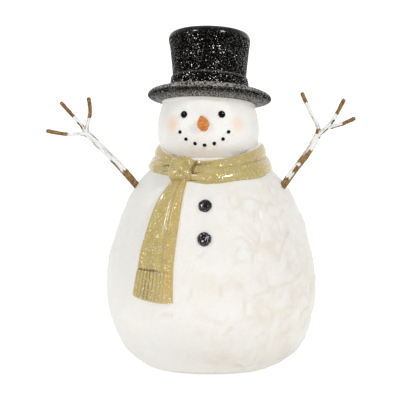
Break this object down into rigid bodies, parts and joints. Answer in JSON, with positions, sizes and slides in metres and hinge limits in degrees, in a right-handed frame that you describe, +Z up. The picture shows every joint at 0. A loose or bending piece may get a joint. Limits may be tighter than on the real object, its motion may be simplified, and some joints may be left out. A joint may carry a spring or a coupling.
{
  "type": "snowman figurine",
  "caption": "Standing snowman figurine with a rounded body, a top hat, a tied scarf and forked twig arms.",
  "frame": {"origin": "centre of the flat base, where the figurine stands", "axes": "+Z up, -Y towards the face, +X towards the viewer's right when facing the figurine"},
  "size_m": [0.2713, 0.1845, 0.3023],
  "materials": {
    "snow": "cast resin painted warm white, softly dented, beige in the hollows, sprinkled with fine clear glitter",
    "hat": "cast resin painted black and coated with silver-black glitter",
    "scarf": "cast resin painted khaki gold, satin, coated with fine glitter",
    "nose": "cast resin painted carrot orange with darker rings",
    "beads": "glossy black paint on raised dots",
    "buttons": "black domes with silver glitter",
    "bark": "moulded twig, brown bark with patches of white snow paint"
  },
  "bodies": {
    "root": {"body": "snow", "head": "snow", "hat": "hat", "hat_band": "hat", "scarf_wrap": "scarf", "scarf_knot": "scarf", "scarf_tail": "scarf", "nose": "nose", "eye_left": "beads", "eye_right": "beads", "mouth_1": "beads", "mouth_2": "beads", "mouth_3": "beads", "mouth_4": "beads", "mouth_5": "beads", "mouth_6": "beads", "mouth_7": "beads", "button_upper": "buttons", "button_lower": "buttons", "arm_left_stem": "bark", "arm_left_twig_outer": "bark", "arm_left_twig_middle": "bark", "arm_left_twig_inner": "bark", "arm_right_stem": "bark", "arm_right_twig_inner": "bark", "arm_right_twig_middle": "bark", "arm_right_twig_outer": "bark"}
  },
  "joints": []
}
